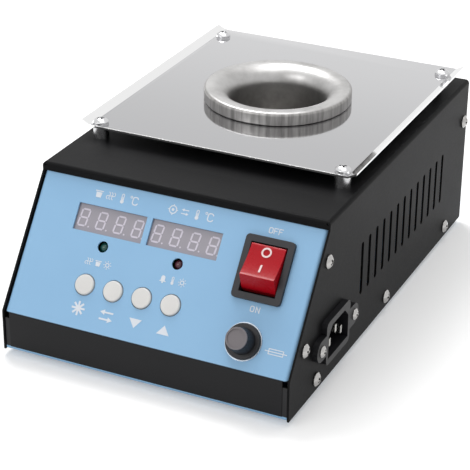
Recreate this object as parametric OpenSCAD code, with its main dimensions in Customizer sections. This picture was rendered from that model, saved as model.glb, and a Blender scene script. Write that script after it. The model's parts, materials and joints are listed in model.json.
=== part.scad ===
// Bench soldering pot: a sheet-metal case with a sloping control panel, and a heated
// crucible whose rim rests on a raised steel heat shield.
// Millimetres, +Z up, front towards -Y. The origin is on the bench, under the middle of the depth.

/* [Case] */
// Width over the cover's sides
body_w = 152; // [148:1:180]
// Depth of the cover
body_d = 240; // [236:1:280]
// Height of the cover, from its lower edge to its top
body_h = 83; // [81:0.5:100]
// Sheet thickness of the cover and the chassis
sheet = 1; // [0.8:0.1:1.2]
// Height of the upright band below the sloping panel
band_h = 21; // [19:0.5:23]
// Slope of the control panel, in degrees from the bench
panel_angle = 53.5; // [50:0.5:56]
// Height of the lip at the front of the cover's top
lip_drop = 4.3; // [3.5:0.1:5]
// How far the panel and the band sit back inside the cover
panel_recess = 0.5; // [0.4:0.1:0.8]
// Outer bend radius of the folded sheets
bend_r = 2; // [1.5:0.1:2.5]
// Width of the flanges that the cover is screwed to
flange_w = 15; // [14:0.5:17]
// Height of the rubber feet below the cover's lower edge
foot_h = 3; // [2:0.5:6]
// Diameter of a rubber foot
foot_d = 14; // [10:1:16]

/* [Vents] */
// Number of vent slots in each side
vent_count = 13; // [6:1:14]
// Distance between two slots
vent_pitch = 9.66; // [8:0.1:10]
// Width of a slot
vent_w = 3.2; // [2:0.1:4]
// Length of a slot over its round ends
vent_len = 28.5; // [16:0.5:30]
// Height of the slots' middle above the cover's lower edge
vent_z = 39.3; // [36:0.5:42]
// Distance from the middle of the row to the cover's back edge
vent_back = 96.35; // [90:1:100]

/* [Heat shield] */
// Depth of the plate
shield_d = 157.5; // [154:1:166]
// Thickness of the plate
shield_t = 1; // [0.8:0.1:1.5]
// Sideways reach of each bent-up edge
shield_lip_out = 4.7; // [3:0.1:7]
// Rise of each bent-up edge
shield_lip_up = 2.3; // [1:0.1:5]
// How far the plate reaches back from the pot's centre
shield_back = 82.5; // [80:0.5:84]
// Height of the spacers under the plate
spacer_h = 6; // [5:0.5:14]
// Diameter of the spacers
spacer_d = 8; // [7:0.5:9]
// Distance from the cover's side to the plate's screws
post_in = 10.5; // [10.5:0.5:16]
// Front-to-back distance between the plate's screws
post_dy = 141.2; // [138:0.2:144]

/* [Crucible] */
// Distance from the pot's centre to the cover's back edge
pot_back = 87; // [86:0.5:94]
// Diameter of the crucible's bore
bore_d = 50; // [44:1:52]
// Depth of the bore below the top of the rim
bore_depth = 45; // [35:1:45]
// Wall of the crucible
pot_wall = 3; // [2:0.5:3.5]
// Diameter of the rim
rim_d = 77; // [76:1:84]
// Height of the rim above the heat shield
rim_h = 7; // [6:0.5:9]
// Radius that leads from the rim's top into the bore
mouth_r = 9.3; // [7:0.1:9.5]

/* [Heater] */
// Radial thickness of the band heater
heater_t = 3.4; // [2.5:0.1:4]
// Height of the band heater
heater_h = 28; // [20:1:30]
// Outer diameter of the can round the heater
can_d = 80; // [78:1:84]
// Wall of the can
can_t = 0.8; // [0.6:0.1:1]
// Height of the can's bottom above the case's floor
can_lift = 38; // [34:1:39]

/* [Panel displays] */
// Width of a display window
window_w = 37; // [34:0.5:38]
// Height of a display window
window_h = 13.3; // [12:0.1:14]
// Distance from the case's left side to the middle of the left window
window_left = 42.7; // [41:0.5:44]
// Distance between the middles of the windows
window_pitch = 39.9; // [39.5:0.1:41]
// Distance from the panel's lower edge to the middle of the windows
window_s = 53.2; // [52:0.1:54]
// Height of a digit
digit_h = 9; // [7:0.1:9.5]
// Distance between two digits
digit_pitch = 9.7; // [8:0.1:9.8]

/* [Panel lamps and buttons] */
// Diameter of the holes for the signal lamps
lamp_hole = 5.6; // [5.3:0.1:6]
// Distance from the panel's lower edge to the lamps
lamp_s = 41.1; // [40:0.1:41.5]
// Diameter of a button cap
button_d = 9.9; // [8:0.1:10.5]
// Gap round a button cap
button_gap = 0.45; // [0.3:0.05:0.8]
// Distance between two buttons
button_pitch = 15.3; // [15:0.1:16]
// Distance from the case's left side to the first button
button_left = 39; // [38:0.5:40]
// Distance from the panel's lower edge to the buttons
button_s = 21.5; // [20:0.1:22]
// Height of a button cap above the panel
button_up = 1; // [0.5:0.1:2]
// Travel of a button
button_travel = 0.8; // [0.3:0.1:1]

/* [Mains switch] */
// Distance from the case's right side to the middle of the switch
switch_right = 26.3; // [25:0.1:29]
// Distance from the panel's lower edge to the middle of the switch
switch_s = 47.3; // [46:0.1:48]
// Width of the switch's frame
frame_w = 24.8; // [24:0.1:26]
// Length of the switch's frame
frame_l = 30.4; // [30:0.1:31]
// Height of the switch's frame above the panel
frame_h = 2; // [1.5:0.1:2.5]
// Width of the rocker
rocker_w = 17.4; // [16:0.1:18]
// Tilt of the rocker to each side, in degrees
rocker_tilt = 18; // [12:0.5:18]

/* [Fuse holder] */
// Distance from the case's right side to the fuse holder
fuse_right = 27; // [26:0.1:30]
// Distance from the panel's lower edge to the fuse holder
fuse_s = 13.1; // [12.5:0.1:14]
// Diameter of the holder's flange
fuse_flange_d = 17; // [16:0.1:18]
// Diameter of the holder's body
fuse_body_d = 12.6; // [12:0.1:13]
// Height of the cap above the flange
fuse_cap_h = 8; // [6:0.5:10]
// Depth of the holder behind the panel
fuse_depth = 33; // [31:0.5:34]

/* [Mains inlet] */
// Distance from the cover's front edge to the middle of the inlet
inlet_y = 50.2; // [49:0.1:54]
// Height of the inlet's middle above the cover's lower edge
inlet_z = 22.4; // [22:0.1:24]
// Distance between the inlet's screws
inlet_screw_pitch = 40; // [38:0.5:42]
// Thickness of the inlet's flange
inlet_flange_t = 3; // [2:0.1:4]
// Depth of the inlet's socket
socket_depth = 15; // [13:0.5:16]

/* [Hidden] */
$fn = 64;

// Clearance between neighbours that only lie beside each other
gap = 0.3;
// A cut runs this far past the face that it opens
past = 1;
// Inner side of the cover, and outer side of the chassis
inner_x = body_w / 2 - sheet;
chassis_w = 2 * (inner_x - gap);
// Where the cover's slope meets its top lip
slope_rise = body_h - lip_drop - band_h;
lip_y = slope_rise / tan(panel_angle);
// The recessed panel's lower edge
crease_y = panel_recess;
crease_z = band_h + panel_recess * tan(panel_angle) - panel_recess / cos(panel_angle);
chassis_top = body_h - sheet - gap;
panel_len = (chassis_top - crease_z) / sin(panel_angle);
// The heat shield, above the cover's top
shield_z = body_h + spacer_h;
rim_z = shield_z + shield_t;
pot_y = body_d - pot_back;
pot_r = bore_d / 2 + pot_wall;
heater_r = pot_r + heater_t;
pot_floor = rim_z + rim_h - bore_depth - pot_wall;
heater_z = pot_floor + 4;
can_floor = sheet + can_lift;
can_top = chassis_top;
// The fuse cap stands on the holder's flange and its washer
fuse_washer_t = 0.5;
fuse_flange_t = 1.5;
fuse_seat = fuse_washer_t + fuse_flange_t;
fuse_cap_top_r = 5.2;
fuse_cap_top = fuse_seat + gap + fuse_cap_h;
// The cap leads the cover's front edge by this much, and the origin is half-way along the whole depth
fuse_lead = fuse_cap_top * sin(panel_angle) - (fuse_s - fuse_cap_top_r) * cos(panel_angle) - panel_recess;
front_y = (fuse_lead - body_d) / 2;
// The switch's body behind the panel
switch_u = body_w / 2 - switch_right;
housing_w = frame_w - 3.2;
housing_l = frame_l - 2.8;
// Screw sizes
m4 = 4;
m3 = 3;

// The case's frame: Y runs back from the cover's front edge, Z up from its lower edge
module in_case() {
  translate([0, front_y, foot_h]) children();
}

// The panel's frame: X across, Y up the slope, Z out of the panel's face
module on_panel() {
  in_case() translate([0, crease_y, crease_z]) rotate([panel_angle, 0, 0]) children();
}

// The pot's frame, on its upright axis at the height z
module on_pot(z = 0) {
  in_case() translate([0, pot_y, z]) children();
}

// An outline in the YZ plane, spread to both sides of the middle
module across(width) {
  translate([-width / 2, 0, 0]) rotate([90, 0, 90]) linear_extrude(width) children();
}

// An outline in the XZ plane, run back from y by length
module run_back(length, y = 0) {
  translate([0, y + length, 0]) rotate([90, 0, 0]) linear_extrude(length) children();
}

// A box given by two corners
module block(from, to) {
  translate(from) cube(to - from);
}

// A slot's outline with round ends, length along Y
module slot_outline(width, length) {
  reach = (length - width) / 2;
  square([width, 2 * reach], center = true);
  for (end = [-1, 1]) translate([0, end * reach]) circle(d = width);
}

// A rectangle with round corners
module round_rect(width, length, r) {
  square([width - 2 * r, length], center = true);
  square([width, length - 2 * r], center = true);
  for (x = [-1, 1], y = [-1, 1]) translate([x * (width / 2 - r), y * (length / 2 - r)]) circle(r);
}

// The section of a channel folded from sheet: a web on the X axis, two flanges down.
// Its bends are true arcs, or have turns facets to the full circle.
module channel_section(width, depth, r, t, turns = 64) {
  difference() {
    channel_outline(width, depth, r, turns);
    translate([0, -t]) channel_outline(width - 2 * t, depth, max(r - t, 0.2), turns);
  }
}

module channel_outline(width, depth, r, turns) {
  translate([-width / 2, -depth]) square([width, depth - r]);
  translate([-width / 2 + r, -r]) square([width - 2 * r, r]);
  for (x = [-1, 1]) translate([x * (width / 2 - r), -r]) circle(r, $fn = turns);
}

// A cross-recess pan-head screw along Z: the head stands on z = 0, the shank runs down
module pan_screw(d, length, head_d, head_h) {
  recess_w = head_d * 0.13;
  difference() {
    rotate_extrude() intersection() {
      square([head_d / 2, head_h]);
      translate([0, head_h - dome_r(head_d, head_h)]) circle(dome_r(head_d, head_h));
    }
    for (turn = [0, 90]) rotate([0, 0, turn])
      translate([0, 0, head_h]) cube([head_d * 0.56, recess_w, head_h * 1.1], center = true);
  }
  translate([0, 0, -length]) cylinder(d = d, h = length);
}

// Radius of a pan head's dome, which leaves an upright edge of a third of its height
function dome_r(head_d, head_h) =
  let (rise = head_h * 0.6) (head_d * head_d / 4 + rise * rise) / (2 * rise);

// A hexagon nut along Z with its lower face on z = 0
module hex_nut(d, across_flats, h) {
  difference() {
    cylinder(d = across_flats / cos(30), h = h, $fn = 6);
    translate([0, 0, -past]) cylinder(d = d, h = h + 2 * past);
  }
}

// ---------------------------------------------------------------- case

cover_screw_d = 7;
cover_screw_h = 2.3;
floor_screw_z = 6.5;
// Places of the cover's screws on a side: [y, z] in the case's frame
function slope_y(z) = max(0, (z - band_h) / tan(panel_angle));
slope_screw_in = 9.8;
upper_screw_z = body_h - 19.4;
cover_screw_places = [
  [30.8, floor_screw_z],
  [body_d / 2 + 1.3, floor_screw_z],
  [body_d - 28.3, floor_screw_z],
  [slope_y(band_h + 8.5) + slope_screw_in, band_h + 8.5],
  [slope_y(upper_screw_z) + slope_screw_in, upper_screw_z],
  [body_d - 6, body_h - 22.3]
];
// The floor's side flanges end below the panel's
side_flange_h = band_h - 10;
foot_inset = 22;
foot_places = [for (x = [-1, 1], y = [foot_inset, body_d - foot_inset]) [x * (body_w / 2 - foot_inset), y]];
bracket_reach = can_d / 2 + 12;

module chassis() {
  color("#8fbde2") difference() {
    union() {
      chassis_sheets();
      chassis_flanges();
    }
    panel_cuts();
    in_case() {
      for (side = [-1, 1], place = cover_screw_places)
        translate([side * inner_x, place[0], place[1]]) rotate([0, 90, 0])
          cylinder(d = m4, h = 6 * sheet, center = true);
      for (place = foot_places) translate([place[0], place[1], -past]) cylinder(d = m4 + 0.2, h = 5);
      bracket_feet() translate([0, 0, -2 * past]) cylinder(d = m3, h = 6);
      pillar_places() translate([0, 0, -2 * past]) cylinder(d = m3, h = 6);
      inlet_clearance();
    }
  }
}

// The floor, the upright band, the sloping panel with its top fold, and the back.
// The band's corners are relieved below the panel's bent sides.
module chassis_sheets() {
  r = bend_r - sheet / 2;
  half = chassis_w / 2;
  band_half = half - 0.05;
  rear_y = body_d - crease_y;
  fold_y = crease_y + panel_len * cos(panel_angle) + gap;
  relief_z = crease_z - 1.7 * bend_r;
  in_case() {
    block([-half, crease_y + r, 0], [half, rear_y - bend_r, sheet]);
    block([bend_r - half, rear_y - 2 * bend_r, 0], [half - bend_r, rear_y, sheet]);
    front_fold(r);
    translate([0, rear_y, 0]) linear_extrude(chassis_top) channel_section(chassis_w, flange_w, bend_r, sheet);
    block([3 * bend_r - half, fold_y, chassis_top - sheet], [half - 3 * bend_r, fold_y + 9, chassis_top]);
    block([-band_half, crease_y, r], [band_half, crease_y + sheet, relief_z]);
    block([-strip_half, crease_y, r], [strip_half, crease_y + sheet, crease_z - 0.05]);
    for (side = [0, 1]) mirror([side, 0, 0])
      block([half - sheet, crease_y, r], [band_half, crease_y + flange_w - 2, relief_z]);
  }
  difference() {
    on_panel() rotate([-90, 0, 0]) mirror([0, 1, 0])
      linear_extrude(panel_len + 2 * flange_w) channel_section(chassis_w, flange_w, bend_r, sheet);
    in_case() block([-body_w, -past, chassis_top], [body_w, body_d, 2 * body_h]);
  }
}

// The rounded fold from the floor up to the band
module front_fold(r) {
  across(chassis_w) translate([crease_y + r, r]) difference() {
    intersection() {
      circle(r);
      translate([-r, -r]) square(r);
    }
    circle(max(r - sheet, 0.2));
  }
}

// The upright flanges along the floor's two sides
module chassis_flanges() {
  in_case() for (side = [0, 1]) mirror([side, 0, 0])
    block([chassis_w / 2 - sheet, crease_y + bend_r, 0], [chassis_w / 2, body_d - crease_y - bend_r, side_flange_h]);
}

// Every hole in the sloping panel
module panel_cuts() {
  depth = 4 * sheet;
  on_panel() translate([0, 0, -depth / 2]) linear_extrude(depth) {
    for (u = window_us) translate([u, window_s]) square([window_w, window_h], center = true);
    for (u = window_us) translate([u, lamp_s]) circle(d = lamp_hole);
    for (i = [0:3]) translate([button_u(i), button_s]) circle(d = button_d + 2 * button_gap);
    translate([switch_u, switch_s]) square([housing_w + 2 * gap, housing_l + 2 * gap], center = true);
    translate([fuse_u, fuse_s]) circle(d = fuse_body_d + 2 * gap);
  }
}

strip_t = 0.3;
strip_half = chassis_w / 2 - bend_r - 0.5;

// A thin black film along the upright band
module front_strip() {
  color("#1b1b1d") in_case() block(
    [-strip_half, crease_y - strip_t, bend_r],
    [strip_half, crease_y, crease_z - 0.3]
  );
}

module cover() {
  color("#222224") difference() {
    in_case() union() {
      intersection() {
        run_back(body_d) translate([0, body_h]) channel_section(body_w, body_h, bend_r, sheet);
        across(body_w + 2) cover_side_outline();
      }
      cover_front_lip();
    }
    in_case() {
      for (i = [0:vent_count - 1]) translate([0, body_d - vent_back + (i - (vent_count - 1) / 2) * vent_pitch, vent_z])
        across(body_w + 2) slot_outline(vent_w, vent_len);
      for (side = [-1, 1], place = cover_screw_places)
        translate([side * inner_x, place[0], place[1]]) rotate([0, 90, 0])
          cylinder(d = m4 + 0.4, h = 6 * sheet, center = true);
      post_places() translate([0, 0, body_h - 3 * sheet]) cylinder(d = m4 + 0.4, h = 6 * sheet);
      translate([inner_x, inlet_y, inlet_z]) rotate([90, 0, 90]) {
        translate([0, 0, -sheet]) linear_extrude(4 * sheet) square([socket_w + 3.6, socket_h + 3.6], center = true);
        for (end = [-1, 1]) translate([end * inlet_screw_pitch / 2, 0, -sheet]) cylinder(d = m3 + 0.4, h = 4 * sheet);
      }
    }
    on_pot(body_h - 3 * sheet) cylinder(r = pot_r + 4, h = 6 * sheet);
  }
}

// A side of the cover: an upright front edge, the slope, the lip's edge and the rounded top corner
module cover_side_outline() {
  r = bend_r;
  polygon([
    [0, 0], [body_d, 0], [body_d, body_h], [lip_y + r, body_h], [lip_y + r, body_h - r],
    [lip_y, body_h - r], [lip_y, body_h - lip_drop], [0, band_h]
  ]);
  translate([lip_y + r, body_h - r]) circle(r);
}

// The fold at the front of the cover's top, and the lip that hangs from it over the panel
module cover_front_lip() {
  r = bend_r;
  across(body_w - 2 * bend_r) translate([lip_y + r, body_h - r]) difference() {
    intersection() {
      circle(r);
      translate([-r, 0]) square(r);
    }
    circle(r - sheet);
  }
  difference() {
    block([-inner_x, lip_y, body_h - lip_drop], [inner_x, lip_y + sheet, body_h - r]);
    translate([0, crease_y, crease_z]) rotate([panel_angle, 0, 0])
      block([-body_w, 0, -20], [body_w, panel_len + 20, gap]);
  }
}

module cover_screws() {
  color("#3a3a3d") in_case() for (side = [-1, 1], place = cover_screw_places)
    translate([side * body_w / 2, place[0], place[1]]) rotate([0, side * 90, 0])
      pan_screw(m4, 6, cover_screw_d, cover_screw_h);
}

module feet() {
  color("#161616") in_case() for (place = foot_places) translate([place[0], place[1], -foot_h]) difference() {
    cylinder(d1 = foot_d - 2, d2 = foot_d, h = foot_h);
    translate([0, 0, -past]) cylinder(d = m4 + 0.2, h = foot_h + 2 * past);
    translate([0, 0, -past]) cylinder(d = foot_screw_head + 0.6, h = past + foot_h * 0.5);
  }
}

foot_screw_head = 7;

// A screw up through each foot, with its nut on the case's floor
module foot_screws() {
  color("#b9b9bc") in_case() for (place = foot_places) translate([place[0], place[1], 0]) {
    translate([0, 0, -foot_h * 0.5]) mirror([0, 0, 1]) pan_screw(m4, foot_h * 0.5 + sheet + 4, foot_screw_head, foot_h * 0.4);
    translate([0, 0, sheet]) hex_nut(m4, 7, 3.2);
  }
}

// ---------------------------------------------------------------- heat shield and its posts

// The plate is flat out to the washers' outer edges
post_dx = body_w - 2 * post_in;
washer_d = 8;
washer_t = 0.6;
shield_hole_r = pot_r + 1;

module post_places() {
  for (x = [-1, 1], y = [-1, 1]) translate([x * post_dx / 2, pot_y + y * post_dy / 2, 0]) children();
}

module heat_shield() {
  flat = (post_dx + washer_d) / 2;
  outer = flat + shield_lip_out;
  top = shield_t + shield_lip_up;
  color("#c9c9cb") in_case() difference() {
    run_back(shield_d, pot_y + shield_back - shield_d) translate([0, shield_z]) polygon([
      [-flat, 0], [flat, 0], [outer, shield_lip_up], [outer, top],
      [flat, shield_t], [-flat, shield_t], [-outer, top], [-outer, shield_lip_up]
    ]);
    translate([0, pot_y, shield_z - past]) cylinder(r = shield_hole_r, h = shield_t + 2 * past);
    post_places() translate([0, 0, shield_z - past]) cylinder(d = m4 + 0.4, h = shield_t + 2 * past);
  }
}

module spacers() {
  color("#d4d4d6") in_case() post_places() translate([0, 0, body_h]) difference() {
    cylinder(d = spacer_d, h = spacer_h);
    translate([0, 0, -past]) cylinder(d = m4 + 0.4, h = spacer_h + 2 * past);
  }
}

module shield_washers() {
  color("#bcbcbf") in_case() post_places() translate([0, 0, rim_z]) difference() {
    cylinder(d = washer_d, h = washer_t);
    translate([0, 0, -past]) cylinder(d = m4 + 0.3, h = washer_t + 2 * past);
  }
}

module shield_screws() {
  length = washer_t + shield_t + spacer_h + sheet + 4;
  color("#d8d8da") in_case() post_places() translate([0, 0, rim_z + washer_t]) rotate([0, 0, 30])
    pan_screw(m4, length, washer_d - 0.2, 2.8);
}

module shield_nuts() {
  nut_h = 3.2;
  color("#a9a9ac") in_case() post_places() translate([0, 0, body_h - sheet - nut_h]) hex_nut(m4, 7, nut_h);
}

// ---------------------------------------------------------------- crucible and heater

// The turned crucible: its rim rests on the heat shield round the hole
module crucible() {
  color("#b4b1ae") on_pot(rim_z) rotate_extrude($fn = 128) crucible_outline();
}

module crucible_outline() {
  rim_r = rim_d / 2;
  foot_round = 1.2;
  edge_round = 1.8;
  floor_round = 6;
  bore_r = bore_d / 2;
  floor_z = rim_h - bore_depth;
  mouth_x = bore_r + mouth_r;
  difference() {
    union() {
      translate([0, floor_z - pot_wall]) square([pot_r, bore_depth - rim_h + pot_wall]);
      translate([0, foot_round]) square([rim_r, rim_h - foot_round - edge_round]);
      square([rim_r - foot_round, foot_round]);
      translate([0, rim_h - edge_round]) square([rim_r - edge_round, edge_round]);
      translate([rim_r - foot_round, foot_round]) circle(foot_round);
      translate([rim_r - edge_round, rim_h - edge_round]) circle(edge_round);
    }
    translate([0, floor_z + floor_round]) square([bore_r, bore_depth]);
    translate([0, floor_z]) square([bore_r - floor_round, bore_depth]);
    translate([bore_r - floor_round, floor_z + floor_round]) circle(floor_round);
    difference() {
      translate([0, rim_h - mouth_r]) square([mouth_x, mouth_r + past]);
      translate([mouth_x, rim_h - mouth_r]) circle(mouth_r);
    }
  }
}

clamp_gap = 4;
clamp_ear = 7;
clamp_t = 1.5;

// A band heater round the crucible's wall, open at the back, where two ears take the clamp screw
module heater_band() {
  color("#8d8a86") on_pot(heater_z) {
    difference() {
      cylinder(r = heater_r, h = heater_h);
      translate([0, 0, -past]) cylinder(r = pot_r + 0.05, h = heater_h + 2 * past);
      block([-clamp_gap / 2, 0, -past], [clamp_gap / 2, heater_r + past, heater_h + past]);
    }
    for (side = [0, 1]) mirror([side, 0, 0]) difference() {
      block([clamp_gap / 2, heater_r - 1, 0], [clamp_gap / 2 + clamp_t, heater_r + clamp_ear - 1, heater_h]);
      translate([0, heater_r + clamp_ear / 2 - 0.5, heater_h / 2]) rotate([0, 90, 0]) cylinder(d = m3 + 0.2, h = 12);
    }
  }
}

module heater_clamp_screw() {
  half = clamp_gap / 2 + clamp_t;
  color("#9b9b9e") on_pot(heater_z) translate([0, heater_r + clamp_ear / 2 - 0.5, heater_h / 2]) {
    translate([half, 0, 0]) rotate([0, 90, 0]) pan_screw(m3, 2 * half + 3.5, 5, 1.8);
    translate([-half, 0, 0]) rotate([0, -90, 0]) hex_nut(m3, 4.8, 2);
  }
}

probe_d = 3;
probe_y = 14;

// Ceramic-fibre wool between the heater and the can, and under the crucible
module insulation() {
  wool_r = can_d / 2 - can_t - gap;
  color("#e9e6dc") on_pot() difference() {
    translate([0, 0, can_floor + can_t + gap]) cylinder(r = wool_r, h = heater_z + heater_h - can_floor - can_t - gap);
    translate([0, 0, pot_floor - gap]) cylinder(r = heater_r + gap, h = heater_h + 20);
    block([-9, 0, pot_floor - gap], [9, heater_r + clamp_ear, body_h]);
    translate([0, probe_y, can_floor - past]) cylinder(d = probe_d + 2 * gap, h = 20);
    lead_holes(wire_d + 2 * gap);
  }
}

// The steel can that holds the wool
module pot_can() {
  color("#a3a3a5") on_pot(can_floor) difference() {
    cylinder(d = can_d, h = can_top - can_floor);
    translate([0, 0, can_t]) cylinder(d = can_d - 2 * can_t, h = can_top);
    translate([0, probe_y, -past]) cylinder(d = probe_d + gap, h = 5);
    translate([0, 0, -can_floor]) lead_holes(wire_d + 1);
  }
}

bracket_w = 20;

module bracket_feet() {
  for (side = [-1, 1]) translate([side * (bracket_reach + 7), pot_y, 0]) children();
}

// A folded strap that carries the can over the case's floor
module pot_bracket() {
  color("#b0b0b3") in_case() difference() {
    run_back(bracket_w, pot_y - bracket_w / 2) polygon([
      [-bracket_reach - 13, sheet], [-bracket_reach + sheet, sheet], [-bracket_reach + sheet, can_floor - sheet],
      [bracket_reach - sheet, can_floor - sheet], [bracket_reach - sheet, sheet], [bracket_reach + 13, sheet],
      [bracket_reach + 13, 2 * sheet], [bracket_reach, 2 * sheet], [bracket_reach, can_floor],
      [-bracket_reach, can_floor], [-bracket_reach, 2 * sheet], [-bracket_reach - 13, 2 * sheet]
    ]);
    bracket_feet() cylinder(d = m3 + 0.2, h = 6);
  }
}

module bracket_screws() {
  color("#a9a9ac") in_case() bracket_feet() {
    mirror([0, 0, 1]) pan_screw(m3, 2 * sheet + 3.5, 5.5, 1.8);
    translate([0, 0, 2 * sheet]) hex_nut(m3, 5.5, 2.4);
  }
}

// A sheathed probe through the can's bottom against the crucible's underside
module thermocouple() {
  collar_h = 2;
  color("#c5c3bf") on_pot() translate([0, probe_y, 0]) {
    translate([0, 0, can_floor - 6]) cylinder(d = probe_d, h = pot_floor - can_floor + 6 - 0.1);
    translate([0, 0, can_floor - collar_h]) cylinder(d = 6, h = collar_h);
  }
}

// ---------------------------------------------------------------- display board behind the panel

window_us = [-body_w / 2 + window_left, -body_w / 2 + window_left + window_pitch];
display_w = 38.4;
display_l = 15;
display_t = 8;
display_face = -sheet - gap;
board_t = 1.6;
board_face = display_face - display_t;
board_u0 = window_us[0] - 28.5;
board_u1 = switch_u - housing_w / 2 - 3.8;
board_s0 = 9;
board_s1 = window_s + 13;
standoff_in = 4;
standoff_places = [for (u = [board_u0 + standoff_in, board_u1 - standoff_in], s = [board_s0 + standoff_in, board_s1 - standoff_in - 1]) [u, s]];

function button_u(i) = -body_w / 2 + button_left + i * button_pitch;

module control_board() {
  color("#2f6b45") on_panel() difference() {
    block([board_u0, board_s0, board_face - board_t], [board_u1, board_s1, board_face]);
    for (place = standoff_places) translate([place[0], place[1], board_face - 2 * board_t]) cylinder(d = m3 + 0.2, h = 4);
  }
}

// Pillars between the panel and the board
module board_standoffs() {
  color("#c7a94f") on_panel() for (place = standoff_places) translate([place[0], place[1], board_face])
    cylinder(d = 6, h = -sheet - board_face, $fn = 6);
}

module board_screws() {
  color("#a9a9ac") on_panel() for (place = standoff_places) translate([place[0], place[1], board_face - board_t])
    mirror([0, 0, 1]) pan_screw(m3, board_t, 5.5, 1.8);
}

tact_h = 3.5;
tact_stem_top = display_face - 0.4;

// The four small switches under the button caps
module tact_switches() {
  color("#2a2a2c") on_panel() for (i = [0:3]) translate([button_u(i), button_s, board_face]) {
    translate([-3, -3, 0]) cube([6, 6, tact_h]);
    cylinder(d = 3.4, h = tact_stem_top - board_face);
  }
}

module display_block(u) {
  on_panel() block(
    [u - display_w / 2, window_s - display_l / 2, board_face],
    [u + display_w / 2, window_s + display_l / 2, display_face]
  );
}

module display_left() {
  color("#97939d") display_block(window_us[0]);
}

module display_right() {
  color("#97939d") display_block(window_us[1]);
}

segment_t = 0.1;
digit_w = 5;
bar = 0.85;
digit_lean = 6;

// One bar of a digit with pointed ends, lying along X
module segment(length) {
  polygon([
    [-length / 2, 0], [-length / 2 + bar / 2, bar / 2], [length / 2 - bar / 2, bar / 2],
    [length / 2, 0], [length / 2 - bar / 2, -bar / 2], [-length / 2 + bar / 2, -bar / 2]
  ]);
}

// A figure eight of seven bars and a point, leaning as such digits do
module digit_outline() {
  across_len = digit_w - bar - 0.2;
  up_len = digit_h / 2 - bar / 2 - 0.2;
  lean = tan(digit_lean);
  for (row = [-1, 0, 1]) translate([row * digit_h / 2 * lean, row * (digit_h - bar) / 2]) segment(across_len);
  for (x = [-1, 1], y = [-1, 1])
    translate([x * (digit_w - bar) / 2 + y * digit_h / 4 * lean, y * (digit_h - bar) / 4])
      rotate([0, 0, 90 - digit_lean]) segment(up_len);
}

module digit_row(u) {
  on_panel() translate([u, window_s, display_face]) linear_extrude(segment_t)
    for (i = [0:3]) translate([(i - 1.5) * digit_pitch, 0]) {
      digit_outline();
      translate([digit_w / 2 + 0.9, -digit_h / 2 + bar / 2]) circle(d = bar, $fn = 24);
    }
}

module digits_left() {
  color("#d2cedb") digit_row(window_us[0]);
}

module digits_right() {
  color("#d2cedb") digit_row(window_us[1]);
}

lamp_d = 5;
lamp_h = 8.6;

// A signal lamp: a round lens with a collar, standing on the board
module lamp(u) {
  on_panel() translate([u, lamp_s, board_face]) {
    cylinder(d = lamp_d + 0.8, h = 1.2);
    cylinder(d = lamp_d, h = lamp_h - lamp_d / 2);
    translate([0, 0, lamp_h - lamp_d / 2]) sphere(d = lamp_d);
  }
}

module lamp_green() {
  color("#1f5a4c") lamp(window_us[0]);
}

module lamp_red() {
  color("#5a2630") lamp(window_us[1]);
}

button_collar = 1.1;

// A button cap: a rounded disc with a collar behind the panel, hollow over the switch's stem
module button_cap(i) {
  edge = 0.7;
  collar_top = -sheet - gap;
  color("#ebe9e6") on_panel() translate([button_u(i), button_s, 0]) rotate_extrude() difference() {
    union() {
      translate([0, collar_top]) square([button_d / 2, button_up - edge - collar_top]);
      translate([0, button_up - edge]) square([button_d / 2 - edge, edge]);
      translate([button_d / 2 - edge, button_up - edge]) circle(edge, $fn = 32);
      translate([0, collar_top - button_collar]) square([button_d / 2 + button_gap + 0.9, button_collar]);
    }
    translate([-past, tact_stem_top - 2]) square([past + 2.2, 2 + button_travel + gap]);
  }
}

module button_set() {
  button_cap(0);
}

module button_shift() {
  button_cap(1);
}

module button_down() {
  button_cap(2);
}

module button_up_key() {
  button_cap(3);
}

// ---------------------------------------------------------------- mains switch

housing_depth = 22;
rocker_gap = 0.5;
pivot_z = -4.9;
pin_d = 3;
rocker_half = 11.3;
mouth_half = rocker_half + 0.6;

// The switch's frame and body, with a well for the rocker and blind holes for its pins
module switch_housing() {
  well_w = rocker_w + 2 * rocker_gap;
  color("#343437") on_panel() translate([switch_u, switch_s, 0]) difference() {
    union() {
      linear_extrude(frame_h) round_rect(frame_w, frame_l, 2);
      translate([-housing_w / 2, -housing_l / 2, -housing_depth]) cube([housing_w, housing_l, housing_depth]);
    }
    block([-well_w / 2, -mouth_half, pivot_z - 7], [well_w / 2, mouth_half, frame_h + past]);
    translate([0, 0, pivot_z]) rotate([0, 90, 0]) cylinder(d = pin_d + 0.1, h = well_w + 1.7, center = true);
  }
}

module switch_tabs() {
  color("#c9b27a") on_panel() translate([switch_u, switch_s, -housing_depth])
    for (x = [-1, 1], y = [-1, 0, 1]) translate([x * 5 - 0.4, y * 8 - 2.4, -9]) cube([0.8, 4.8, 9]);
}

ridge_half = 8.5;
ridge_z = 10.3;
dish_r = 46;

// The rocker in its pivot's frame: Y along the panel's slope, Z out of the panel
module on_pivot() {
  on_panel() translate([switch_u, switch_s, pivot_z]) rotate([-rocker_tilt, 0, 0]) children();
}

module rocker() {
  color("#c3141f") on_pivot() {
    difference() {
      across(rocker_w) polygon([
        [-ridge_half, ridge_z], [ridge_half, ridge_z], [rocker_half - 0.1, 2.2], [rocker_half - 0.1, -1],
        [6, -4.5], [-6, -4.5], [-rocker_half + 0.1, -1], [-rocker_half + 0.1, 2.2]
      ]);
      translate([0, 0, ridge_z + dish_r - dish_depth]) rotate([0, 90, 0])
        cylinder(r = dish_r, h = rocker_w + 2, center = true, $fn = 256);
    }
    rotate([0, 90, 0]) cylinder(d = pin_d, h = rocker_w + 2 * rocker_gap + 1, center = true);
  }
}

dish_depth = 0.75;
mark_t = 0.25;

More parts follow.
